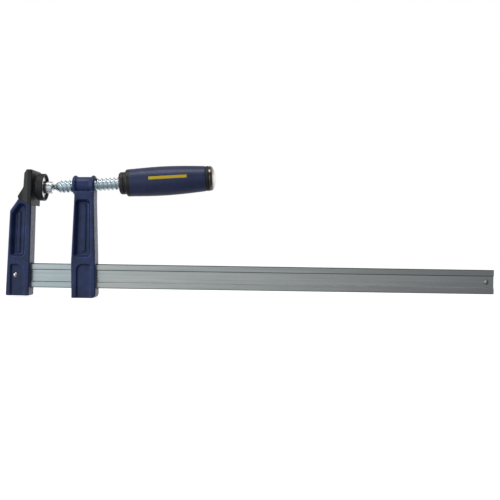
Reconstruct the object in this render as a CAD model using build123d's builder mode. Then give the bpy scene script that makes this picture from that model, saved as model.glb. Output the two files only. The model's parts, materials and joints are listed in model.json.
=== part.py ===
"""F clamp.

An I-section steel bar carries a riveted fixed jaw at one end and a sliding arm that a stop pin
keeps on the bar. A coarse screw turns in the arm's boss. Its ball end holds a swivelling
pressure plate, and its other end holds a two-colour handle.

Millimetres. +X runs along the bar from the fixed jaw, +Y through the clamp's thickness, and
+Z up from the bar to the jaws. The origin is the bottom centre of the bounding box.
"""

import os
from math import asin, cos, degrees, radians, sin, tan

from build123d import *

os.makedirs("parts", exist_ok=True)

# ---------------------------------------------------------------- driving dimensions

heel_reach = 11.392  # from the fixed jaw's datum back to its rounded heel
foot_depth = 22.5  # from the bar's centre line down to the arm's foot

bar_length = 500.0
bar_height = 25.0
bar_thickness = 6.0
groove_width = 12.4
groove_depth = 1.25
bar_edge = 0.5  # rounding of the bar's and the grooves' edges
bar_start = -8.1  # the bar's end inside the fixed jaw, from the jaw's datum

casting_thickness = 18.0  # both jaws are castings of this thickness
casting_edge = 1.2  # rounding of a casting's edges
pocket_depth = 5.0
pocket_draft = 28.0  # degrees, of the deep pockets' sloping walls
pocket_corner = 4.2
floor_rounding = 1.0
rim_rounding = 0.6
pocket_rib_height = 0.7  # the raised rib on a deep pocket's floor
shallow_depth = 1.8  # the pockets over the bar
shallow_draft = 24.0  # degrees

overrun = 5.0  # how far a cut runs past the surface that it opens

slide_clearance = 0.2  # all round the bar in the arm's slot
bore_clearance = 0.15  # round the screw in the arm's bore

screw_tilt = 4.1  # degrees, the screw rises towards the handle
jaw_lean = 1.36  # degrees, the clamping faces lean away from the fixed jaw
ball_x = 29.2  # the screw's ball centre, from the jaw's datum and the bar's centre line
ball_z = 91.33

ball_radius = 3.7
neck_radius = 2.2
thread_radius = 6.5
thread_root = 5.1
thread_pitch = 4.2
shank_radius = 4.8

pad_radius = 14.0
pad_thickness = 7.8
pad_gap = 2.15  # between the pad and the fixed jaw's cap
plate_thickness = 2.8
hub_radius = 6.2

cap_width = 32.4  # the fixed jaw cap's clamping face
cap_back_width = 23.0
cap_face_x = 15.6  # the foot of the clamping face, from the jaw's datum
cap_face_z = 71.9
cap_face_height = 36.4

# distances along the screw from its ball centre
collar_start = 73.9
grip_start = 80.9
grip_end = 163.8
ring_end = 166.8
handle_end = 173.9
spigot_end = 82.9  # the collar's spigot reaches this far into the grip
screw_end = 150.0
tang_start = 125.0  # a square tang on the screw's end keys it in the handle's core
tang_width = 6.7
pin_distance = 100.0
handle_pin_radius = 2.0

# ---------------------------------------------------------------- reference frames

datum_x = -(bar_start + bar_length - heel_reach) / 2  # centres the box over the origin
half_casting = casting_thickness / 2

screw_direction = Vector(cos(radians(screw_tilt)), 0, sin(radians(screw_tilt)))
pad_direction = Vector(cos(radians(jaw_lean)), 0, -sin(radians(jaw_lean)))
ball_centre = Vector(datum_x + ball_x, 0, foot_depth + ball_z)


def upright(y=0.0):
    """The side view: local x along the bar, local y up, from the fixed jaw's datum on the bar."""
    return Plane(origin=(datum_x, y, foot_depth), x_dir=(1, 0, 0), z_dir=(0, -1, 0))


def lengthwise(direction):
    """A plane through the ball centre: local x along the direction, local y across it."""
    return Plane(origin=ball_centre, x_dir=direction, z_dir=(0, -1, 0))


def across(direction, distance):
    """A plane square to the direction, at a distance from the ball centre."""
    return Plane(origin=ball_centre + direction * distance, x_dir=(0, 1, 0), z_dir=direction)


screw_axis = Axis(ball_centre, screw_direction)
pad_axis = Axis(ball_centre, pad_direction)
screw_side = lengthwise(screw_direction)
pad_side = lengthwise(pad_direction)


def polar(radius, degrees):
    """A point on a circle about the local origin."""
    return (radius * cos(radians(degrees)), radius * sin(radians(degrees)))


def soften_pocket(piece, side):
    """Rounds a cast pocket's floor and its rim, on one side of a casting."""
    floor_y = side * (half_casting - pocket_depth)
    floor = piece.faces().filter_by(Axis.Y).sort_by(lambda face: abs(face.center().Y - floor_y))[0]
    fillet(floor.edges(), radius=floor_rounding)
    outermost = 0 if side < 0 else -1
    outer = piece.faces().filter_by(Axis.Y).group_by(Axis.Y)[outermost].sort_by(SortBy.AREA)[-1]
    fillet([edge for wire in outer.inner_wires() for edge in wire.edges()], radius=rim_rounding)


def finish(piece, label):
    """Labels a finished piece and writes it."""
    piece.part.label = label
    export_step(piece.part, f"parts/{label}.step")
    bounds = piece.part.bounding_box()
    print(f"{label:16s} {piece.part.volume:10.1f} mm3  {bounds.size}")


# ---------------------------------------------------------------- bar and its stop pin

stop_x = 484.2
stop_radius = 2.7
stop_upset = 0.01  # the swelling of its ends past its hole
stop_proud = 1.0  # past the bar's flanges, so that the arm can't pass
rivet_x = -2.0
rivet_z = 0.3
rivet_radius = 1.8
rivet_head = 2.3
rivet_dome = 0.9

with BuildPart() as bar:
    bar_end = Plane(origin=(datum_x + bar_start, 0, foot_depth), x_dir=(0, 1, 0), z_dir=(1, 0, 0))
    with BuildSketch(bar_end) as bar_section:
        Rectangle(bar_thickness, bar_height)
        groove_centre = (bar_thickness - groove_depth) / 2
        with Locations((groove_centre, 0), (-groove_centre, 0)):
            Rectangle(groove_depth, groove_width, mode=Mode.SUBTRACT)
        fillet(bar_section.vertices(), radius=bar_edge)
    extrude(amount=bar_length)
    with BuildSketch(upright()):
        with Locations((stop_x, 0)):
            Circle(stop_radius)
        with Locations((rivet_x, rivet_z)):
            Circle(rivet_radius)
    extrude(amount=bar_thickness, both=True, mode=Mode.SUBTRACT)
finish(bar, "bar")


def pin(x, z, shank, grip, head, dome):
    """A pin across the clamp with a domed head at each end, made by turning half its section."""
    half = grip / 2
    middle = Plane(origin=(datum_x + x, 0, foot_depth + z), x_dir=(1, 0, 0), z_dir=(0, 0, 1))
    with BuildPart() as turned:
        with BuildSketch(middle):
            with BuildLine():
                Line((0, -half - dome), (0, half + dome))
                TangentArc((0, half + dome), (head, half), tangent=(1, 0))
                Polyline((head, half), (shank, half), (shank, -half), (head, -half))
                TangentArc((0, -half - dome), (head, -half), tangent=(1, 0))
            make_face()
        revolve(axis=Axis(middle.origin, (0, 1, 0)))
    return turned


stop_pin = pin(stop_x, 0, stop_radius, bar_thickness - 2 * groove_depth,
               stop_radius + stop_upset, groove_depth + stop_proud)
finish(stop_pin, "stop_pin")

jaw_rivet = pin(rivet_x, rivet_z, rivet_radius, casting_thickness - 2 * shallow_depth,
                rivet_head, rivet_dome)
finish(jaw_rivet, "jaw_rivet")

# ---------------------------------------------------------------- fixed jaw

jaw_points = [
    (-11.45, -20.9),
    (-8.15, 66.4),
    (7.7, 89.8),
    (8.9, 102.8),
    (10.8, 105.3),
    (14.3, 105.3),
    (12.5, -20.9),
]
jaw_shoulder_rounding = 2.0
jaw_foot_rounding = 1.5
jaw_pocket_points = [(-7.0, 19.2), (-6.0, 63.0), (2.0, 75.0), (8.7, 72.6), (7.4, 19.2)]
rivet_pocket_points = [(-6.8, -24.0), (-6.6, 11.4), (1.2, 11.4), (7.0, 6.1), (7.9, -24.0)]
rivet_pocket_rounding = 1.5
jaw_rib_centre = (0.2, 44.6)
jaw_rib_length = 42.0
jaw_rib_width = 3.0
jaw_rib_angle = 89.0  # degrees from the bar's direction
jaw_slot_length = 30.0

with BuildPart() as fixed_jaw:
    with BuildSketch(upright()) as jaw_outline:
        with BuildLine():
            Polyline(*jaw_points, close=True)
        make_face()
        fillet(jaw_outline.vertices().sort_by(Axis.X)[1], radius=jaw_shoulder_rounding)
        fillet(jaw_outline.vertices().sort_by(Axis.Y)[0:2], radius=jaw_foot_rounding)
    extrude(amount=half_casting, both=True)
    fillet(fixed_jaw.faces().filter_by(Axis.Y).edges(), radius=casting_edge)
    for side in (-1, 1):
        with BuildSketch(upright(side * half_casting)) as jaw_pocket:
            with BuildLine():
                Polyline(*jaw_pocket_points, close=True)
            make_face()
            fillet(jaw_pocket.vertices(), radius=pocket_corner)
        extrude(amount=side * pocket_depth, taper=pocket_draft, mode=Mode.SUBTRACT)
        soften_pocket(fixed_jaw, side)
        with BuildSketch(upright(side * half_casting)) as rivet_pocket:
            with BuildLine():
                Polyline(*rivet_pocket_points, close=True)
            make_face()
            fillet(rivet_pocket.vertices().sort_by(Axis.Y)[-3:], radius=rivet_pocket_rounding)
        extrude(amount=side * shallow_depth, taper=shallow_draft, mode=Mode.SUBTRACT)
        with BuildSketch(upright(side * (half_casting - pocket_depth))):
            with Locations(jaw_rib_centre):
                SlotOverall(jaw_rib_length, jaw_rib_width, rotation=jaw_rib_angle)
        extrude(amount=-side * pocket_rib_height)
    with BuildSketch(upright()):
        with Locations((bar_start, 0)):
            Rectangle(jaw_slot_length, bar_height, align=(Align.MIN, Align.CENTER))
    extrude(amount=bar_thickness / 2, both=True, mode=Mode.SUBTRACT)
    with BuildSketch(upright()):
        with Locations((rivet_x, rivet_z)):
            Circle(rivet_radius)
    extrude(amount=casting_thickness, both=True, mode=Mode.SUBTRACT)
finish(fixed_jaw, "fixed_jaw")

# ---------------------------------------------------------------- fixed jaw's plastic cap

cap_points = [
    (0.4, 81.3),
    (0.8, 78.8),
    (cap_face_x, cap_face_z),
    (cap_face_x + cap_face_height * tan(radians(jaw_lean)), cap_face_z + cap_face_height),
    (10.5, cap_face_z + cap_face_height),
    (7.4, 104.8),
    (6.4, 91.0),
]
cap_half = cap_width / 2
cap_back_half = cap_back_width / 2
cap_taper_start = 11.6  # its sides narrow from here
cap_taper_end = 5.5  # to here
cap_edge = 0.8

with BuildPart() as jaw_cap:
    with BuildSketch(upright()):
        with BuildLine():
            Polyline(*cap_points, close=True)
        make_face()
    extrude(amount=cap_half, both=True)
    with BuildSketch(Plane(origin=(datum_x, 0, foot_depth + cap_face_z - overrun))):
        with BuildLine():
            Polyline(
                (cap_face_x + overrun, cap_half),
                (cap_taper_start, cap_half),
                (cap_taper_end, cap_back_half),
                (-overrun, cap_back_half),
                (-overrun, -cap_back_half),
                (cap_taper_end, -cap_back_half),
                (cap_taper_start, -cap_half),
                (cap_face_x + overrun, -cap_half),
                close=True,
            )
        make_face()
    extrude(amount=cap_face_height + 2 * overrun, mode=Mode.INTERSECT)
    large_faces = jaw_cap.faces().filter_by(GeomType.PLANE).sort_by(SortBy.AREA)[-3:]
    fillet(large_faces.sort_by(Axis.X)[-1].edges(), radius=cap_edge)
    with BuildSketch(upright()):
        with BuildLine():
            Polyline(*jaw_points, close=True)
        make_face()
    extrude(amount=half_casting, both=True, mode=Mode.SUBTRACT)
finish(jaw_cap, "jaw_cap")

# ---------------------------------------------------------------- sliding arm

boss_middle = 37.55  # along the screw, from the ball centre
boss_length = 23.3
boss_tilt = 1.0  # degrees, the cast boss lies flatter than the bore through it
boss_radius = 8.8
boss_lip_radius = 10.4
boss_lip_width = 5.6
boss_lip_rounding = 2.4

arm_points = [
    (56.1, -foot_depth),
    (55.2, 14.0),
    (57.6, 83.0),
    (57.6, 87.4),
    (78.0, 87.4),
    (77.9, 79.0),
    (80.1, 18.0),
    (81.1, -16.5),
    (81.1, -foot_depth),
]
upper_pocket = [(59.0, 79.0), (74.5, 79.0), (75.4, 19.4), (57.9, 19.4)]
foot_rounding = 4.5  # on the side towards the handle
heel_rounding = 1.0
arm_rib_centre = (67.3, 49.8)
arm_rib_length = 49.0
arm_rib_width = 3.6
arch_left = 60.9  # the arched pocket over the bar
arch_right = 75.9
arch_top = 12.4
arch_left_radius = 6.4
arch_right_radius = 3.0
slot_centre_x = 68.0
slot_length = 40.0
slot_height = bar_height + 2 * slide_clearance
slot_thickness = bar_thickness + 2 * slide_clearance

with BuildPart() as sliding_arm:
    with BuildSketch(upright()) as arm_outline:
        with BuildLine():
            Polyline(*arm_points, close=True)
        make_face()
        foot_corners = arm_outline.vertices().group_by(Axis.Y)[0].sort_by(Axis.X)
        fillet(foot_corners[-1], radius=foot_rounding)
        fillet(foot_corners[0], radius=heel_rounding)
    extrude(amount=half_casting, both=True)
    fillet(sliding_arm.faces().filter_by(Axis.Y).edges(), radius=casting_edge)
    boss_direction = Vector(cos(radians(boss_tilt)), 0, sin(radians(boss_tilt)))
    boss_axis = Axis(ball_centre + screw_direction * boss_middle, boss_direction)
    half_boss = boss_length / 2
    with BuildSketch(Plane(origin=boss_axis.position, x_dir=(0, 1, 0), z_dir=boss_direction)):
        Circle(boss_radius)
    extrude(amount=half_boss, both=True)
    with BuildSketch(Plane(origin=boss_axis.position, x_dir=boss_direction, z_dir=(0, -1, 0))):
        for start, outward in ((-half_boss, 1), (half_boss, -1)):
            with BuildLine():
                rounding = boss_lip_rounding * outward
                lip_end = start + boss_lip_width * outward
                Line((start, 0), (start, boss_lip_radius - boss_lip_rounding))
                TangentArc((start, boss_lip_radius - boss_lip_rounding),
                           (start + rounding, boss_lip_radius), tangent=(0, 1))
                Spline((start + rounding, boss_lip_radius), (lip_end, boss_radius),
                       tangents=[(outward, 0), (outward, 0)])
                Polyline((lip_end, boss_radius), (lip_end, 0), (start, 0))
            make_face()
    revolve(axis=boss_axis)
    with BuildSketch(across(screw_direction, boss_middle)):
        Circle(thread_radius + bore_clearance)
    extrude(amount=half_boss + overrun, both=True, mode=Mode.SUBTRACT)
    for side in (-1, 1):
        with BuildSketch(upright(side * half_casting)) as arm_pocket:
            with BuildLine():
                Polyline(*upper_pocket, close=True)
            make_face()
            fillet(arm_pocket.vertices(), radius=pocket_corner)
        extrude(amount=side * pocket_depth, taper=pocket_draft, mode=Mode.SUBTRACT)
        soften_pocket(sliding_arm, side)
        with BuildSketch(upright(side * (half_casting - pocket_depth))):
            with Locations(arm_rib_centre):
                SlotOverall(arm_rib_length, arm_rib_width, rotation=90)
        extrude(amount=-side * pocket_rib_height)
        with BuildSketch(upright(side * half_casting)):
            with BuildLine():
                Polyline((arch_left, arch_top - arch_left_radius), (arch_left, -foot_depth - overrun),
                         (arch_right, -foot_depth - overrun), (arch_right, arch_top - arch_right_radius))
                JernArc((arch_right, arch_top - arch_right_radius), (0, 1),
                        radius=arch_right_radius, arc_size=90)
                Line((arch_right - arch_right_radius, arch_top), (arch_left + arch_left_radius, arch_top))
                JernArc((arch_left + arch_left_radius, arch_top), (-1, 0),
                        radius=arch_left_radius, arc_size=90)
            make_face()
        extrude(amount=side * shallow_depth, taper=shallow_draft, mode=Mode.SUBTRACT)
    with BuildSketch(upright()):
        with Locations((slot_centre_x, 0)):
            Rectangle(slot_length, slot_height)
    extrude(amount=slot_thickness / 2, both=True, mode=Mode.SUBTRACT)
finish(sliding_arm, "sliding_arm")

# ---------------------------------------------------------------- screw

thread_start = 8.0
ridge_foot = 3.2  # the ridge's width at the root
ridge_crest = 1.0
ridge_bury = 0.3  # how far the ridge reaches into the root
neck_angle = degrees(asin(neck_radius / ball_radius))
neck_profile = [(4.6, neck_radius), (6.9, 2.9), (7.6, 3.2), (11.6, thread_root)]
ridge_envelope = thread_radius + bore_clearance
run_in = [(-overrun, 4.5), (7.6, 3.3), (12.6, ridge_envelope)]  # the cone that the thread starts on

with BuildPart() as spindle:
    with BuildSketch(screw_side):
        with BuildLine():
            CenterArc((0, 0), ball_radius, neck_angle, 180 - neck_angle)
            Polyline(polar(ball_radius, neck_angle), *neck_profile, (collar_start, thread_root),
                     (collar_start, 0), (-ball_radius, 0))
        make_face()
    revolve(axis=screw_axis)
    helix_centre = ball_centre + screw_direction * thread_start
    helix = Helix(thread_pitch, collar_start - thread_start, thread_root,
                  center=helix_centre, direction=screw_direction)
    ridge_start = helix @ 0
    outward = (ridge_start - helix_centre).normalized()
    with BuildSketch(Plane(origin=ridge_start, x_dir=outward, z_dir=helix % 0)):
        with BuildLine():
            Polyline((-ridge_bury, -ridge_foot / 2), (thread_radius - thread_root, -ridge_crest / 2),
                     (thread_radius - thread_root, ridge_crest / 2), (-ridge_bury, ridge_foot / 2),
                     close=True)
        make_face()
    sweep(path=helix, is_frenet=True)
    with BuildSketch(screw_side):
        with BuildLine():
            Polyline((-overrun, 0), *run_in, (collar_start, ridge_envelope), (collar_start, 0),
                     close=True)
        make_face()
    revolve(axis=screw_axis, mode=Mode.INTERSECT)
    with BuildSketch(across(screw_direction, collar_start)):
        Circle(shank_radius)
    extrude(amount=tang_start - collar_start)
    with BuildSketch(across(screw_direction, tang_start)):
        Rectangle(tang_width, tang_width)
    extrude(amount=screw_end - tang_start)
    with BuildSketch(screw_side):
        with Locations((pin_distance, 0)):
            Circle(handle_pin_radius)
    extrude(amount=shank_radius + overrun, both=True, mode=Mode.SUBTRACT)
finish(spindle, "spindle")

# ---------------------------------------------------------------- swivelling pad

face_distance = ((ball_x - cap_face_x) * cos(radians(jaw_lean))
                 + (cap_face_z - ball_z) * sin(radians(jaw_lean)))
pad_front = pad_gap - face_distance
pad_back = pad_front + pad_thickness
pad_front_rounding = 1.2
pad_back_rounding = 0.6
plate_recess = 2.1  # the plate's back lies this deep in the cap
plate_back = pad_back - plate_recess
plate_front = plate_back - plate_thickness
plate_radius = 12.7
catch_reach = 0.35  # the lip inside the cap's rim that the plate snaps behind
catch_place = 0.25
ball_clearance = 0.1
seat_radius = ball_radius + ball_clearance
retainer_radius = seat_radius + 0.4
socket_radius = retainer_radius + ball_clearance
mouth_angle = 52.0  # degrees from the pad's axis
seat_angle = 92.0  # degrees, where the seat widens to the socket
hub_foot_rounding = 1.0
hub_end = 4.3  # from the ball's centre
hub_chamfer = 0.5
hub_mouth_radius = 3.9
retainer_start = 44.0  # degrees from the screw's axis
retainer_span = 28.0

with BuildPart() as pad_cap:
    with BuildSketch(pad_side):
        with BuildLine():
            Line((pad_front, 0), (pad_front, pad_radius - pad_front_rounding))
            JernArc((pad_front, pad_radius - pad_front_rounding), (0, 1),
                    radius=pad_front_rounding, arc_size=-90)
            Line((pad_front + pad_front_rounding, pad_radius), (pad_back - pad_back_rounding, pad_radius))
            JernArc((pad_back - pad_back_rounding, pad_radius), (1, 0),
                    radius=pad_back_rounding, arc_size=-90)
            Polyline((pad_back, pad_radius - pad_back_rounding), (pad_back, plate_radius),
                     (pad_back - catch_place, plate_radius - catch_reach),
                     (pad_back - 2 * catch_place, plate_radius - catch_reach),
                     (plate_back, plate_radius), (plate_front, plate_radius), (plate_front, 0),
                     (pad_front, 0))
        make_face()
    revolve(axis=pad_axis)
finish(pad_cap, "pad_cap")

with BuildPart() as pressure_plate:
    with BuildSketch(pad_side):
        with BuildLine():
            Polyline((plate_front, 0), (plate_front, plate_radius), (plate_back, plate_radius),
                     (plate_back, hub_radius + hub_foot_rounding))
            JernArc((plate_back, hub_radius + hub_foot_rounding), (0, -1),
                    radius=hub_foot_rounding, arc_size=90)
            Polyline((plate_back + hub_foot_rounding, hub_radius), (hub_end - hub_chamfer, hub_radius),
                     (hub_end, hub_radius - hub_chamfer), (hub_end, hub_mouth_radius),
                     polar(socket_radius, mouth_angle))
            CenterArc((0, 0), socket_radius, mouth_angle, seat_angle - mouth_angle)
            Line(polar(socket_radius, seat_angle), polar(seat_radius, seat_angle))
            CenterArc((0, 0), seat_radius, seat_angle, 180 - seat_angle)
            Line((-seat_radius, 0), (plate_front, 0))
        make_face()
    revolve(axis=pad_axis)
finish(pressure_plate, "pressure_plate")

with BuildPart() as ball_retainer:
    with BuildSketch(screw_side):
        with BuildLine():
            retainer_end = retainer_start + retainer_span
            CenterArc((0, 0), seat_radius, retainer_start, retainer_span)
            Line(polar(seat_radius, retainer_end), polar(retainer_radius, retainer_end))
            CenterArc((0, 0), retainer_radius, retainer_start, retainer_span)
            Line(polar(retainer_radius, retainer_start), polar(seat_radius, retainer_start))
        make_face()
    revolve(axis=screw_axis)
finish(ball_retainer, "ball_retainer")

# ---------------------------------------------------------------- handle

collar_radius = 11.6
collar_rounding = 2.5
collar_groove = 78.9  # a narrow groove round the collar, distance from the ball centre
collar_groove_depth = 0.5
spigot_radius = 9.0
core_radius = 10.2  # over the hexagon's corners
ring_radius = 12.9
ring_rounding = 0.6
cap_radius = 12.85
cap_foot_chamfer = 0.4
cap_straight = 0.9  # the end cap's straight side, before its dome
cap_dome_point = (4.9, 10.2)  # on the dome, from the ring and from the axis
stud_radius = 4.0
stud_length = 12.0
pin_chamfer = 0.4
grip_mouth_radius = 12.0
grip_shoulder = (83.3, 14.1)
grip_swell = [(101.0, 14.8), (114.0, 15.15), (138.0, 14.65)]
grip_tail = (163.0, 13.05)
grip_tail_radius = 12.4

with BuildPart() as handle_collar:
    with BuildSketch(screw_side):
        with BuildLine():
            Polyline((collar_start + collar_rounding, collar_radius),
                     (collar_groove - collar_groove_depth, collar_radius),
                     (collar_groove, collar_radius - collar_groove_depth),
                     (collar_groove + collar_groove_depth, collar_radius),
                     (grip_start, collar_radius), (grip_start, spigot_radius),
                     (spigot_end, spigot_radius), (spigot_end, shank_radius),
                     (collar_start, shank_radius), (collar_start, collar_radius - collar_rounding))
            JernArc((collar_start, collar_radius - collar_rounding), (0, 1),
                    radius=collar_rounding, arc_size=-90)
        make_face()
    revolve(axis=screw_axis)
finish(handle_collar, "handle_collar")

with BuildPart() as handle_core:
    with BuildSketch(across(screw_direction, spigot_end)):
        RegularPolygon(core_radius, 6)
        Circle(shank_radius, mode=Mode.SUBTRACT)
    extrude(amount=tang_start - spigot_end)
    with BuildSketch(across(screw_direction, tang_start)):
        RegularPolygon(core_radius, 6)
        Rectangle(tang_width, tang_width, mode=Mode.SUBTRACT)
    extrude(amount=screw_end - tang_start)
    with BuildSketch(across(screw_direction, screw_end)):
        RegularPolygon(core_radius, 6)
    extrude(amount=grip_end - screw_end)
    with BuildSketch(across(screw_direction, ring_end - stud_length)):
        Circle(stud_radius)
    extrude(amount=stud_length, mode=Mode.SUBTRACT)
    with BuildSketch(screw_side):
        with Locations((pin_distance, 0)):
            Circle(handle_pin_radius)
    extrude(amount=core_radius + overrun, both=True, mode=Mode.SUBTRACT)
finish(handle_core, "handle_core")

with BuildPart() as handle_pin:
    with BuildSketch(screw_side):
        with Locations((pin_distance, 0)):
            Circle(handle_pin_radius)
    extrude(amount=core_radius * cos(radians(30)), both=True)
    chamfer(handle_pin.edges().filter_by(GeomType.CIRCLE), length=pin_chamfer)
finish(handle_pin, "handle_pin")

with BuildPart() as handle_grip:
    with BuildSketch(screw_side):
        with BuildLine():
            Line((grip_start, 0), (grip_start, grip_mouth_radius))
            TangentArc((grip_start, grip_mouth_radius), grip_shoulder, tangent=(0, 1))
            Spline(grip_shoulder, *grip_swell, grip_tail)
            Polyline(grip_tail, (grip_end, grip_tail_radius), (grip_end, 0), (grip_start, 0))
        make_face()
    revolve(axis=screw_axis)
    with BuildSketch(across(screw_direction, grip_start)):
        Circle(spigot_radius)
    extrude(amount=spigot_end - grip_start, mode=Mode.SUBTRACT)
    with BuildSketch(across(screw_direction, spigot_end)):
        RegularPolygon(core_radius, 6)
    extrude(amount=grip_end - spigot_end, mode=Mode.SUBTRACT)
finish(handle_grip, "handle_grip")

with BuildPart() as handle_ring:
    with BuildSketch(across(screw_direction, grip_end)):
        Circle(ring_radius)
        Circle(stud_radius, mode=Mode.SUBTRACT)
    extrude(amount=ring_end - grip_end)
    rims = handle_ring.edges().filter_by(GeomType.CIRCLE).sort_by(SortBy.RADIUS)[-2:]
    fillet(rims, radius=ring_rounding)
finish(handle_ring, "handle_ring")

with BuildPart() as end_cap:
    with BuildSketch(screw_side):
        with BuildLine():
            Polyline((ring_end - stud_length, 0), (ring_end - stud_length, stud_radius),
                     (ring_end, stud_radius), (ring_end, cap_radius - cap_foot_chamfer),
                     (ring_end + cap_foot_chamfer, cap_radius), (ring_end + cap_straight, cap_radius))
            Spline((ring_end + cap_straight, cap_radius), (ring_end + cap_dome_point[0], cap_dome_point[1]),
                   (handle_end, 0), tangents=[(1, 0), (0, -1)])
            Line((handle_end, 0), (ring_end - stud_length, 0))
        make_face()
    revolve(axis=screw_axis)
finish(end_cap, "end_cap")
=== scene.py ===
import json
import math

import bmesh
import bpy
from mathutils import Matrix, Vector, noise


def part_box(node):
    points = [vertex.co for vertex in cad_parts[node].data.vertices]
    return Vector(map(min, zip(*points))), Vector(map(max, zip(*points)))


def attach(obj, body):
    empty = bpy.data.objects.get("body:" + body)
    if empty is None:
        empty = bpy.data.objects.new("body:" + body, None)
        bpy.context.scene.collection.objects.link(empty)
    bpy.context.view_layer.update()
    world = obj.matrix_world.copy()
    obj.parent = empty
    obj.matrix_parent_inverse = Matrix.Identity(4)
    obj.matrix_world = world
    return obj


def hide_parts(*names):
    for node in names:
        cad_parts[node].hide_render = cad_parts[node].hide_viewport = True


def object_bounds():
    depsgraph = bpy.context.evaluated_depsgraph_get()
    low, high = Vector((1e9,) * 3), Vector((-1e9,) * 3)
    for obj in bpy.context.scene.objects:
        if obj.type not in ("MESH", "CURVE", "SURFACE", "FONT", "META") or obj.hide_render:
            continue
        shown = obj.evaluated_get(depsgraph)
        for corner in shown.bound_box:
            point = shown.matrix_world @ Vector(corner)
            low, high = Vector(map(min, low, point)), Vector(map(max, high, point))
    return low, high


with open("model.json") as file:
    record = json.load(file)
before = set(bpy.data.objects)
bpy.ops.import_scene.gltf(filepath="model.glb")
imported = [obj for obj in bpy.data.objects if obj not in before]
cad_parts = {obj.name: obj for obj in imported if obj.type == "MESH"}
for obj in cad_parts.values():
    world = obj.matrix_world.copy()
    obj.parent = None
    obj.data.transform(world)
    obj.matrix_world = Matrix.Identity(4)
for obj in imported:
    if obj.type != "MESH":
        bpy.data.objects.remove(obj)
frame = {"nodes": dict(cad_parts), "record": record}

cad_low, cad_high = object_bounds()
MM = 0.001

# ------------------------------------------------------------------ places, from the frame

nodes_of = frame["nodes"]
joints = {joint["name"]: joint for joint in frame["record"]["behaviour"]["joints"]}
bar_low, bar_high = (Vector(corner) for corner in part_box("bar"))
bar_centre_z = (bar_low.z + bar_high.z) / 2
ball_centre = Vector(joints["spindle_turn"]["pos_m"])
screw_direction = Vector(joints["spindle_turn"]["axis"])

# ------------------------------------------------------------------ short calls for shader nodes


class Graph:
    """A node tree and short calls for the nodes in it."""

    def __init__(self, tree):
        self.tree = tree

    def add(self, kind):
        return self.tree.nodes.new("ShaderNode" + kind)

    def link(self, source, target):
        self.tree.links.new(source, target)

    def fill(self, socket, value):
        """Gives an input a number, a colour or another node's output."""
        if isinstance(value, (int, float)):
            socket.default_value = value
        elif isinstance(value, tuple):
            socket.default_value = (*value, 1)
        else:
            self.link(value, socket)

    def split(self, vector):
        """A vector's three parts."""
        node = self.add("SeparateXYZ")
        self.link(vector, node.inputs[0])
        return node.outputs

    def math(self, kind, *values):
        """One Math node; each value may be a number."""
        node = self.add("Math")
        node.operation = kind
        for socket, value in zip(node.inputs, values):
            self.fill(socket, value)
        return node.outputs[0]

    def multiply(self, first, second):
        return self.math("MULTIPLY", first, second)

    def larger(self, first, second):
        return self.math("MAXIMUM", first, second)

    def distance(self, source, level):
        """How far source is from a level, either way."""
        return self.math("ABSOLUTE", self.math("SUBTRACT", source, level))

    def spread(self, source, low, high, source_low=0.3, source_high=0.7, kind="LINEAR"):
        """Maps source from its usual span to low..high and no further."""
        node = self.add("MapRange")
        node.interpolation_type = kind
        for key, value in (("Value", source), ("From Min", source_low), ("From Max", source_high),
                           ("To Min", low), ("To Max", high)):
            self.fill(node.inputs[key], value)
        return node.outputs[0]

    def band(self, source, middle, half_width, softness):
        """One where source is within half_width of middle, nought outside, with soft edges."""
        return self.spread(self.distance(source, middle), 1.0, 0.0, half_width - softness, half_width)

    def ramp(self, source, stops):
        """A colour ramp over source; stops are (position, (r, g, b))."""
        node = self.add("ValToRGB")
        elements = node.color_ramp.elements
        while len(elements) < len(stops):
            elements.new(0.5)
        for element, (position, colour) in zip(elements, stops):
            element.position = position
            element.color = (*colour, 1)
        self.link(source, node.inputs["Fac"])
        return node.outputs["Color"]

    def mix(self, factor, first, second, kind="MIX"):
        """Mixes two colours by a factor; each of the three may be a plain value."""
        node = self.add("Mix")
        node.data_type = "RGBA"
        node.blend_type = kind
        self.fill(node.inputs["Factor"], factor)
        for name, value in (("A", first), ("B", second)):
            socket = [one for one in node.inputs if one.name == name and one.type == "RGBA"][0]
            self.fill(socket, value)
        return [one for one in node.outputs if one.type == "RGBA"][0]


# ------------------------------------------------------------------ camera and studio

scene = bpy.context.scene
scene.view_settings.view_transform = "Standard"
scene.view_settings.look = "None"

CAMERA_DISTANCE = 750 * MM
CAMERA_SHIFT_X = -1.13 * MM  # from the object's middle
CAMERA_OVER_BAR = 29.55 * MM
CAMERA_ROLL = math.radians(-0.87)
LEVEL = math.radians(90)
SENSOR_WIDTH = 36.0
LENS = 51.98
WHITE = (1.0, 1.0, 1.0)

camera_data = bpy.data.cameras.new("camera")
camera = bpy.data.objects.new("camera", camera_data)
scene.collection.objects.link(camera)
scene.camera = camera
camera_data.sensor_width = SENSOR_WIDTH
camera_data.lens = LENS
camera_data.clip_start = 0.01
camera_data.clip_end = 50.0
camera.location = (CAMERA_SHIFT_X, -CAMERA_DISTANCE, bar_centre_z + CAMERA_OVER_BAR)
camera.rotation_euler = (LEVEL, CAMERA_ROLL, 0)


def area_light(name, place, target, size, power):
    """A soft box at a place, aimed at a target."""
    data = bpy.data.lights.new(name, "AREA")
    data.shape = "RECTANGLE"
    data.size, data.size_y = size
    data.energy = power
    light = bpy.data.objects.new(name, data)
    light.location = place
    light.rotation_euler = (Vector(target) - Vector(place)).to_track_quat("-Z", "Y").to_euler()
    scene.collection.objects.link(light)


middle = (cad_low + cad_high) / 2
jaws = (-0.15, 0, 0.08)
area_light("top_softbox", place=(-0.1, -0.35, 1.2), target=middle, size=(0.9, 0.5), power=5)
area_light("left_softbox", place=(-1.1, -0.7, 0.5), target=jaws, size=(0.5, 0.7), power=3)

world = bpy.data.worlds.new("studio")
scene.world = world
world.use_nodes = True


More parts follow.
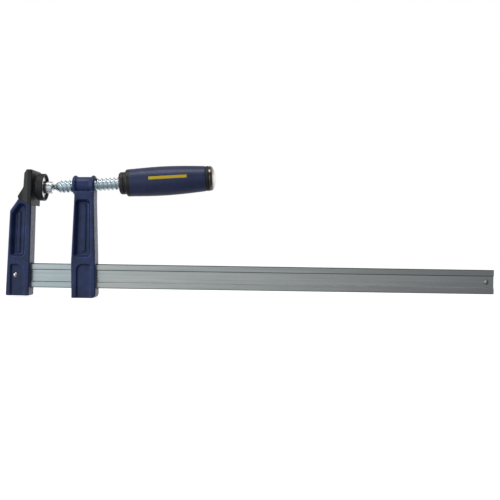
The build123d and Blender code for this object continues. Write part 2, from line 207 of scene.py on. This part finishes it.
def build_world(tree):
    """White to the camera. Round the clamp, a bright belt at its own height that fades above and
    below, white at the left and the back and dark at the front right.
    """
    tree.nodes.clear()
    graph = Graph(tree)
    right, back, up = graph.split(graph.add("TexCoord").outputs["Generated"])

    def by_direction(part, stops):
        """A colour for each value of one part of the direction, -1 to 1."""
        positions = [((value + 1) / 2, colour) for value, colour in stops]
        return graph.ramp(graph.spread(part, 0.0, 1.0, -1, 1), positions)

    front = by_direction(right, [
        (-1.0, WHITE), (-0.45, (0.90, 0.99, 1.0)), (-0.27, (0.70, 0.80, 0.84)),
        (0.0, (0.52, 0.53, 0.53)), (0.25, (0.32, 0.32, 0.31)), (0.5, (0.15, 0.15, 0.15)),
        (0.95, (0.11, 0.11, 0.11))])
    height = by_direction(up, [
        (-1.0, (0.5, 0.5, 0.52)), (-0.5, (0.5, 0.5, 0.52)), (-0.16, (0.9, 0.9, 0.9)),
        (0.0, WHITE), (0.22, WHITE), (0.5, (0.45, 0.45, 0.45)), (1.0, (0.4, 0.4, 0.4))])
    behind = graph.spread(back, 0.0, 1.0, -0.25, 0.2, kind="SMOOTHSTEP")
    around = graph.mix(behind, front, WHITE)
    lit = graph.add("Background")
    graph.fill(lit.inputs["Color"], graph.mix(1.0, around, height, "MULTIPLY"))
    seen = graph.add("Background")
    graph.fill(seen.inputs["Color"], WHITE)
    chosen = graph.add("MixShader")
    for socket, source in zip(chosen.inputs, (graph.add("LightPath").outputs["Is Camera Ray"],
                                              lit.outputs[0], seen.outputs[0])):
        graph.link(source, socket)
    graph.link(chosen.outputs[0], graph.add("OutputWorld").inputs["Surface"])


build_world(world.node_tree)

FLOOR_HALF = 30.0
FLOOR_DROP = 0.2 * MM
FLOOR_GLOW = 0.82

floor_mesh = bpy.data.meshes.new("floor")
floor_mesh.from_pydata([(-FLOOR_HALF, -FLOOR_HALF, 0), (FLOOR_HALF, -FLOOR_HALF, 0),
                        (FLOOR_HALF, FLOOR_HALF, 0), (-FLOOR_HALF, FLOOR_HALF, 0)], [], [(0, 1, 2, 3)])
floor = bpy.data.objects.new("floor", floor_mesh)
floor.location.z = -FLOOR_DROP
floor.visible_glossy = False
floor.visible_diffuse = False
scene.collection.objects.link(floor)
floor_material = bpy.data.materials.new("floor")
floor_material.use_nodes = True
floor_graph = Graph(floor_material.node_tree)
for socket, value in (("Base Color", (0.5, 0.5, 0.5)), ("Roughness", 1.0), ("Specular IOR Level", 0.0),
                      ("Emission Color", WHITE), ("Emission Strength", FLOOR_GLOW)):
    floor_graph.fill(floor_graph.tree.nodes["Principled BSDF"].inputs[socket], value)
floor_mesh.materials.append(floor_material)

# ------------------------------------------------------------------ materials

EVEN = (1, 1, 1)  # a pattern stretched along no axis


class Shader(Graph):
    """A material under construction: a Principled shader and the nodes that feed it."""

    def __init__(self, name, colour, roughness, metallic=0.0, specular=0.5):
        self.material = bpy.data.materials.new(name)
        self.material.use_nodes = True
        super().__init__(self.material.node_tree)
        self.shader = self.tree.nodes["Principled BSDF"]
        for socket, value in (("Base Color", colour), ("Roughness", roughness),
                              ("Metallic", metallic), ("Specular IOR Level", specular)):
            self.fill(self.shader.inputs[socket], value)
        self.place = self.add("TexCoord").outputs["Object"]

    def set(self, name, source):
        self.link(source, self.shader.inputs[name])

    def coordinates(self, stretch):
        """Object coordinates multiplied by (x, y, z)."""
        if stretch == EVEN:
            return self.place
        mapping = self.add("Mapping")
        mapping.inputs["Scale"].default_value = stretch
        self.link(self.place, mapping.inputs["Vector"])
        return mapping.outputs[0]

    def noise(self, scale, detail, roughness=0.5, stretch=EVEN):
        """Noise of about scale cycles a metre, 0 to 1."""
        node = self.add("TexNoise")
        for key, value in (("Vector", self.coordinates(stretch)), ("Scale", scale),
                           ("Detail", detail), ("Roughness", roughness)):
            self.fill(node.inputs[key], value)
        return node.outputs["Fac"]

    def cells(self, scale):
        """Distance to the nearest of scattered points, for pits and grains."""
        node = self.add("TexVoronoi")
        self.fill(node.inputs["Scale"], scale)
        self.link(self.place, node.inputs["Vector"])
        return node.outputs["Distance"]

    def pointiness(self):
        """Over a half on edges that stick out, under a half in corners."""
        return self.add("NewGeometry").outputs["Pointiness"]

    def along_bar(self):
        """Distance along the bar from the object's middle, in metres."""
        return self.split(self.place)["X"]

    def up(self):
        """Height over the object's lowest point, in metres."""
        return self.split(self.place)["Z"]

    def screw_coordinates(self):
        """Distances from the ball's centre: along the screw, across the clamp to its back, and up."""
        moved = self.add("VectorMath")
        moved.operation = "SUBTRACT"
        self.link(self.place, moved.inputs[0])
        moved.inputs[1].default_value = ball_centre
        turned_back = self.add("VectorRotate")
        turned_back.rotation_type = "Y_AXIS"
        turned_back.inputs["Angle"].default_value = math.atan2(screw_direction.z, screw_direction.x)
        self.link(moved.outputs[0], turned_back.inputs["Vector"])
        return self.split(turned_back.outputs[0])

    def bump(self, source, depth, strength, under=None):
        """A bump of that depth in metres, over another bump if one is given."""
        node = self.add("Bump")
        self.fill(node.inputs["Distance"], depth)
        self.fill(node.inputs["Strength"], strength)
        self.link(source, node.inputs["Height"])
        if under is not None:
            self.link(under, node.inputs["Normal"])
        return node.outputs[0]


def shade(colour, factor):
    """A colour made darker or brighter, no channel over one."""
    return tuple(min(1.0, channel * factor) for channel in colour)


# Along the screw from the ball's centre: where the grip's painted shade next to the collar, the printed
# stripe and the end cap's painted dark reflection lie. The stripe's height counts from the screw's axis,
# its side across the clamp.
COLLAR_END_SHADE_FADE = (85.4 * MM, 86.0 * MM)
STRIPE_MIDDLE = 125.2 * MM
STRIPE_HALF_LENGTH = 19.6 * MM
STRIPE_HEIGHT = 2.4 * MM
STRIPE_HALF_WIDTH = 1.6 * MM
STRIPE_SIDE_FADE = (-3 * MM, -2 * MM)
DARK_REFLECTION_FADE = (169.0 * MM, 172.6 * MM)

# Up or down from the bar's middle height: where the flanges begin and the two painted shade lines run.
FLANGE_FADE = (6.0 * MM, 6.6 * MM)
GROOVE_SHADE_LINE = 6.2 * MM
GROOVE_SHADE_HALF_WIDTH = 0.42 * MM
GROOVE_SHADE_SOFTNESS = GROOVE_SHADE_HALF_WIDTH * 0.6
EDGE_SHADE_LINE = 12.6 * MM
EDGE_SHADE_HALF_WIDTH = 1.0 * MM
EDGE_SHADE_SOFTNESS = 0.4 * MM


def paint(name, colour):
    """Satin enamel over a sand-cast surface: worn and with a painted highlight along its edges, painted
    shade in its corners, painted glints scattered over it.
    """
    made = Shader(name, colour, 0.36, specular=0.42)
    mottled = made.ramp(made.noise(90, 3), [(0.3, shade(colour, 0.75)), (0.7, shade(colour, 1.3))])
    edges = made.pointiness()
    # Convex edges lightened: partly paint worn thin, partly a painted highlight along the rims.
    edge_wear_and_highlight = made.spread(edges, 0.0, 0.8, 0.52, 0.585)
    patchy_wear_and_highlight = made.multiply(edge_wear_and_highlight, made.spread(made.noise(240, 4, 0.65), 0.1, 1.0, 0.4, 0.62))
    worn_and_highlit = made.mix(patchy_wear_and_highlight, mottled, (0.21, 0.24, 0.33))
    # Corners darkened to a quarter of the colour: painted shade.
    corner_shaded = made.mix(made.spread(edges, 0.7, 0.0, 0.40, 0.485), worn_and_highlit, shade(colour, 0.25))
    # Scattered light specks: painted glints.
    glint_dots = made.spread(made.cells(620), 1.0, 0.0, 0.05, 0.16)
    glint_specks = made.multiply(glint_dots, made.spread(made.noise(60, 2), 0.0, 0.6, 0.5, 0.7))
    made.set("Base Color", made.mix(glint_specks, corner_shaded, (0.20, 0.22, 0.28)))
    made.set("Roughness", made.spread(made.noise(420, 4), 0.27, 0.46))
    peel = made.bump(made.noise(900, 3, 0.55), depth=0.00016, strength=0.5)
    lumps = made.bump(made.noise(260, 3, 0.6), depth=0.0005, strength=0.4, under=peel)
    made.set("Normal", made.bump(made.cells(480), depth=0.00012, strength=0.35, under=lumps))
    return made.material


def plated(name, colour, roughness, tint=WHITE):
    """Plated or plain steel, a little cloudy, with a fine grain."""
    made = Shader(name, colour, roughness, metallic=1.0)
    tinted = tuple(channel * share for channel, share in zip(colour, tint))
    cloudy = made.ramp(made.noise(55, 3), [(0.35, colour), (0.65, tinted)])
    stains = made.spread(made.noise(900, 3), 0.0, 0.35, 0.5, 0.72)
    made.set("Base Color", made.mix(stains, cloudy, shade(colour, 0.6)))
    grain = made.noise(3500, 3, 0.6)
    made.set("Roughness", made.spread(grain, roughness * 0.75, roughness * 1.3))
    made.set("Normal", made.bump(grain, depth=0.00004, strength=0.5))
    return made.material


def pin_metal(name, colour, dull):
    """Turned steel: bright on the jaw's rivet, dull on the stop pin at the bar's other end."""
    made = Shader(name, colour, 0.25, metallic=1.0)
    far = made.spread(made.along_bar(), 0.0, 1.0, -0.05, 0.05)
    cloudy = made.mix(made.spread(made.noise(700, 3), 0.0, 0.35, 0.45, 0.7), colour, shade(colour, 0.6))
    made.set("Base Color", made.mix(far, cloudy, dull))
    made.set("Roughness", made.larger(made.spread(made.noise(1200, 3), 0.2, 0.3), made.multiply(far, 0.5)))
    made.set("Normal", made.bump(made.noise(2600, 2), depth=0.00003, strength=0.5))
    return made.material


def polished_cap(name, colour, dark_reflection):
    """Polished plate with a painted dark reflection: brown where it meets the ring, bright over the dome.
    """
    made = Shader(name, colour, 0.12, metallic=1.0)
    along = made.screw_coordinates()[0]
    cloudy = made.mix(made.spread(made.noise(160, 3), 0.0, 0.4, 0.4, 0.7), colour, shade(colour, 0.8))
    # Dark brown near the ring, bright at the end: a painted reflection.
    made.set("Base Color", made.mix(made.spread(along, 1.0, 0.0, *DARK_REFLECTION_FADE), cloudy, dark_reflection))
    made.set("Roughness", made.spread(made.noise(500, 3), 0.09, 0.17))
    made.set("Normal", made.bump(made.noise(1500, 2), depth=0.00002, strength=0.4))
    return made.material


def rolled_bar(name, colour):
    """Zinc on a drawn bar: streaks along it, a painted reflection tint along its length, painted shade
    greying the flanges to the right, painted shade lines at the grooves and the edges, the lower groove's
    shade line faint except near the fixed jaw.
    """
    made = Shader(name, colour, 0.3, metallic=1.0)
    streaks = made.noise(420, 4, 0.6, stretch=(0.02, 1, 1))
    fine = made.noise(1800, 3, 0.6, stretch=(0.012, 1, 1))
    plain = made.ramp(streaks, [(0.3, shade(colour, 0.86)), (0.5, colour), (0.72, shade(colour, 1.1))])
    along = made.along_bar()
    # Colour shifting along the bar, bluish at the left and darker at the right end: a painted reflection
    # tint.
    tint = made.ramp(made.spread(along, 0.0, 1.0, -0.25, 0.25), [
        (0.12, (0.94, 0.97, 1.0)), (0.2, (1.0, 0.97, 0.93)), (0.4, (1.0, 0.985, 0.97)),
        (0.6, (0.98, 0.99, 1.0)), (1.0, (0.84, 0.86, 0.92))])
    zinc_and_painted_tint = made.mix(1.0, plain, tint, "MULTIPLY")
    blotches = made.spread(made.noise(70, 3, stretch=(0.4, 1, 1)), 0.0, 0.3, 0.4, 0.7)
    spangled = made.mix(blotches, zinc_and_painted_tint, (0.50, 0.57, 0.60))
    off_centre = made.distance(made.up(), bar_centre_z)
    # Flanges darkened towards the right end: painted shade.
    flange_shade = made.multiply(made.spread(off_centre, 0.0, 1.0, *FLANGE_FADE),
                           made.spread(along, 0.02, 0.2, -0.1, 0.12))
    shaded = made.mix(flange_shade, spangled, shade(colour, 0.25))
    # Dark lines where the grooves and the edges turn away from the light: painted shade.
    groove_shade = made.band(off_centre, GROOVE_SHADE_LINE, GROOVE_SHADE_HALF_WIDTH, GROOVE_SHADE_SOFTNESS)
    edge_shade = made.band(off_centre, EDGE_SHADE_LINE, EDGE_SHADE_HALF_WIDTH, EDGE_SHADE_SOFTNESS)
    upper_half = made.math("GREATER_THAN", made.up(), bar_centre_z)
    faded_groove_shade = made.larger(made.spread(along, 1.0, 0.25, -0.19, -0.14), upper_half)
    shade_lines = made.larger(made.multiply(groove_shade, faded_groove_shade), edge_shade)
    wobble = made.spread(made.noise(140, 3, stretch=(0.1, 1, 1)), 0.6, 1.0)
    made.set("Base Color", made.mix(made.multiply(shade_lines, wobble), shaded, (0.085, 0.085, 0.085)))
    made.set("Roughness", made.larger(made.spread(fine, 0.24, 0.38), made.larger(groove_shade, edge_shade)))
    scratched = made.bump(fine, depth=0.00003, strength=0.6)
    made.set("Normal", made.bump(streaks, depth=0.00006, strength=0.3, under=scratched))
    return made.material


def moulded(name, colour, roughness):
    """Moulded plastic with a fine spark-eroded texture, scuffed grey where it sticks out."""
    made = Shader(name, colour, roughness, specular=0.45)
    mottled = made.ramp(made.noise(140, 3), [(0.3, shade(colour, 0.85)), (0.7, shade(colour, 1.2))])
    scuffed = made.multiply(made.spread(made.pointiness(), 0.0, 0.5, 0.53, 0.62),
                            made.spread(made.noise(300, 3), 0.1, 1.0, 0.4, 0.6))
    made.set("Base Color", made.mix(scuffed, mottled, (0.09, 0.09, 0.09)))
    made.set("Roughness", made.spread(made.noise(600, 2), roughness - 0.06, roughness + 0.08))
    made.set("Normal", made.bump(made.noise(1800, 2), depth=0.00006, strength=0.6))
    return made.material


def grip_plastic(name, colour, stripe_colour):
    """The grip's satin plastic: a black band of painted shade next to the collar, a plain stripe on the
    clamp's front.
    """
    made = Shader(name, colour, 0.36, specular=0.4)
    mottled = made.ramp(made.noise(110, 3), [(0.3, shade(colour, 0.88)), (0.7, shade(colour, 1.15))])
    along, across, up = made.screw_coordinates()
    printed = made.multiply(made.band(along, STRIPE_MIDDLE, STRIPE_HALF_LENGTH, 0.15 * MM),
                            made.band(up, STRIPE_HEIGHT, STRIPE_HALF_WIDTH, 0.12 * MM))
    printed = made.multiply(printed, made.spread(across, 1.0, 0.0, *STRIPE_SIDE_FADE))
    printed = made.multiply(printed, made.spread(made.noise(1500, 3), 0.8, 1.0, 0.35, 0.5))
    striped = made.mix(printed, mottled, stripe_colour)
    # Black next to the collar, where the grip's rounded end turns from the light: painted shade.
    collar_end_shade = made.spread(along, 1.0, 0.0, *COLLAR_END_SHADE_FADE)
    made.set("Base Color", made.mix(collar_end_shade, striped, (0.020, 0.019, 0.020)))
    made.set("Roughness", made.spread(made.noise(700, 2), 0.31, 0.42))
    made.set("Normal", made.bump(made.noise(2200, 2), depth=0.00005, strength=0.5))
    return made.material


materials = {
    "zinc_steel": rolled_bar("zinc_steel", (0.655, 0.67, 0.665)),
    "pin_steel": pin_metal("pin_steel", (0.74, 0.68, 0.57), (0.36, 0.36, 0.34)),
    "plate_steel": plated("plate_steel", (0.88, 0.89, 0.89), 0.2),
    "screw_steel": plated("screw_steel", (0.73, 0.82, 0.86), 0.24, tint=(0.95, 1.0, 1.02)),
    "spring_steel": plated("spring_steel", (0.35, 0.35, 0.36), 0.3),
    "navy_paint": paint("navy_paint", (0.019, 0.036, 0.122)),
    "black_plastic": moulded("black_plastic", (0.014, 0.014, 0.015), 0.5),
    "collar_plastic": moulded("collar_plastic", (0.030, 0.024, 0.025), 0.42),
    "navy_grip": grip_plastic("navy_grip", (0.029, 0.039, 0.108), (0.72, 0.50, 0.012)),
    "bright_cap": polished_cap("bright_cap", (0.88, 0.87, 0.84), (0.20, 0.175, 0.155)),
}

for entry in frame["record"]["subparts"]:
    piece = nodes_of[entry["node"]]
    piece.data.materials.clear()
    piece.data.materials.append(materials[entry["material_slot"]])

# ------------------------------------------------------------------ finished meshes


def place_piece(data, name, body, slot, node):
    """Puts a mesh in the scene: it rides on a body, stands for a CAD node and has its finish."""
    piece = bpy.data.objects.new(name, data)
    scene.collection.objects.link(piece)
    data.materials.clear()
    data.materials.append(materials[slot])
    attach(piece, body)
    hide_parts(node)


SMOOTHING_PASSES = 3
BROAD_RIPPLES = 220  # cycles a metre
FINE_RIPPLES = 900
FINE_SHIFT = Vector((7, 3, 1))


def soften(node, body, slot, voxel, ripple):
    """A denser copy of a CAD piece, its edges eased as moulding leaves them and its skin uneven."""
    source = nodes_of[node]
    working = bpy.data.objects.new("working", source.data.copy())
    working.matrix_world = source.matrix_world
    scene.collection.objects.link(working)
    remesh = working.modifiers.new("skin", "REMESH")
    remesh.mode = "VOXEL"
    remesh.voxel_size = voxel
    evaluated = working.evaluated_get(bpy.context.evaluated_depsgraph_get())
    data = bpy.data.meshes.new_from_object(evaluated)
    data.transform(working.matrix_world)
    data.name = f"{node}_skin"
    bpy.data.objects.remove(working)
    mesh = bmesh.new()
    mesh.from_mesh(data)
    for _ in range(SMOOTHING_PASSES):
        bmesh.ops.smooth_vert(mesh, verts=mesh.verts, factor=0.5, use_axis_x=True, use_axis_y=True,
                              use_axis_z=True)
    mesh.normal_update()
    for vertex in mesh.verts:
        broad = noise.noise(vertex.co * BROAD_RIPPLES)
        fine = noise.noise(vertex.co * FINE_RIPPLES + FINE_SHIFT)
        vertex.co -= vertex.normal * ripple * (0.5 + 0.32 * broad + 0.18 * fine)
    mesh.to_mesh(data)
    mesh.free()
    data.shade_smooth()
    place_piece(data, f"{node}_skin", body, slot, node)


def turned(name, rows, segments, sharp, body, slot, node):
    """A piece turned about the screw's axis from rows of (distance, radius) in millimetres.

    A radius may be a function of the angle. A row of no radius is a single point on the axis.
    Edges turn sharp past that many degrees.
    """
    first = Vector((0, 1, 0))
    second = screw_direction.cross(first)
    mesh = bmesh.new()
    rings = []
    for distance, radius in rows:
        centre = ball_centre + screw_direction * distance * MM
        if radius == 0:
            rings.append([mesh.verts.new(centre)])
            continue
        ring = []
        for step in range(segments):
            angle = 2 * math.pi * step / segments
            reach = (radius(angle) if callable(radius) else radius) * MM
            outward = first * math.cos(angle) + second * math.sin(angle)
            ring.append(mesh.verts.new(centre + outward * reach))
        rings.append(ring)
    for low, high in zip(rings, rings[1:]):
        for step in range(segments):
            after = (step + 1) % segments
            corners = [low[step % len(low)], low[after % len(low)]]
            corners += [high[after % len(high)], high[step % len(high)]]
            mesh.faces.new(list(dict.fromkeys(corners)))
    bmesh.ops.recalc_face_normals(mesh, faces=mesh.faces)
    data = bpy.data.meshes.new(name)
    mesh.to_mesh(data)
    mesh.free()
    data.shade_smooth()
    data.set_sharp_from_angle(angle=math.radians(sharp))
    place_piece(data, name, body, slot, node)


def between(value, start, end):
    """0 before start, 1 after end, straight between them."""
    return min(1.0, max(0.0, (value - start) / (end - start)))


# The screw in millimetres: distances along its axis from the ball's centre, and radii.
BALL_RADIUS = 3.7
BALL_BACK_ANGLE = 172  # degrees from the screw's direction
BALL_ROWS = 20
NECK_RADIUS = 2.2
NECK_ROWS = [(3.3, NECK_RADIUS), (4.4, NECK_RADIUS), (5.2, 2.35), (6.2, 2.7), (7.2, 3.05)]
THREAD_START = 7.6
THREAD_STEP = 0.14
THREAD_PITCH = 4.2
THREAD_DEPTH = 1.4
ROOT_RADIUS = 5.1
ROOT_START_RADIUS = 3.2
ROOT_FULL = 11.6
CREST_START_RADIUS = 3.3
CREST_FULL = 12.6
CREST_FLAT = 0.3  # half widths along the axis
CREST_FOOT = 1.65
COLLAR_START = 73.9
SHANK_START = COLLAR_START + 0.2
SHANK_RADIUS = 4.8
TANG_START = 125.0
TANG_RADIUS = 3.3
SCREW_END = 150.0


def thread_radius(distance):
    """The screw's radius round its axis at a distance from the ball: a rolled, rounded ridge."""
    root_growth = between(distance, THREAD_START, ROOT_FULL)
    crest_growth = between(distance, THREAD_START, CREST_FULL)
    root = ROOT_START_RADIUS + (ROOT_RADIUS - ROOT_START_RADIUS) * root_growth
    crest = CREST_START_RADIUS + (ROOT_RADIUS + THREAD_DEPTH - CREST_START_RADIUS) * crest_growth

    def radius(angle):
        turn = distance / THREAD_PITCH - angle / (2 * math.pi)
        from_crest = abs(turn - round(turn)) * THREAD_PITCH
        flank = between(from_crest, CREST_FLAT, CREST_FOOT)
        return min(crest, root + THREAD_DEPTH * (0.5 + 0.5 * math.cos(math.pi * flank)))

    return radius


def arc(radius, start, end, steps):
    """Rows along an arc about the ball's centre, by angle in degrees."""
    angles = [math.radians(start + (end - start) * step / steps) for step in range(steps + 1)]
    return [(radius * math.cos(angle), radius * math.sin(angle)) for angle in angles]


neck_angle = math.degrees(math.asin(NECK_RADIUS / BALL_RADIUS))
thread_steps = round((COLLAR_START - THREAD_START) / THREAD_STEP)
thread_places = [THREAD_START + THREAD_STEP * step for step in range(thread_steps + 1)]
screw_rows = [(-BALL_RADIUS, 0)] + arc(BALL_RADIUS, BALL_BACK_ANGLE, neck_angle, BALL_ROWS) + NECK_ROWS
screw_rows += [(place, thread_radius(place)) for place in thread_places]
screw_rows += [(SHANK_START, SHANK_RADIUS), (TANG_START, SHANK_RADIUS)]
screw_rows += [(TANG_START, TANG_RADIUS), (SCREW_END, TANG_RADIUS), (SCREW_END, 0)]
turned("screw", screw_rows, segments=96, sharp=50, body="screw", slot="screw_steel", node="spindle")

for node, body, slot, voxel, ripple in (
        ("fixed_jaw", "rail", "navy_paint", 0.42 * MM, 0.07 * MM),
        ("sliding_arm", "arm", "navy_paint", 0.42 * MM, 0.07 * MM),
        ("jaw_cap", "rail", "black_plastic", 0.36 * MM, 0.03 * MM)):
    soften(node, body, slot, voxel, ripple)
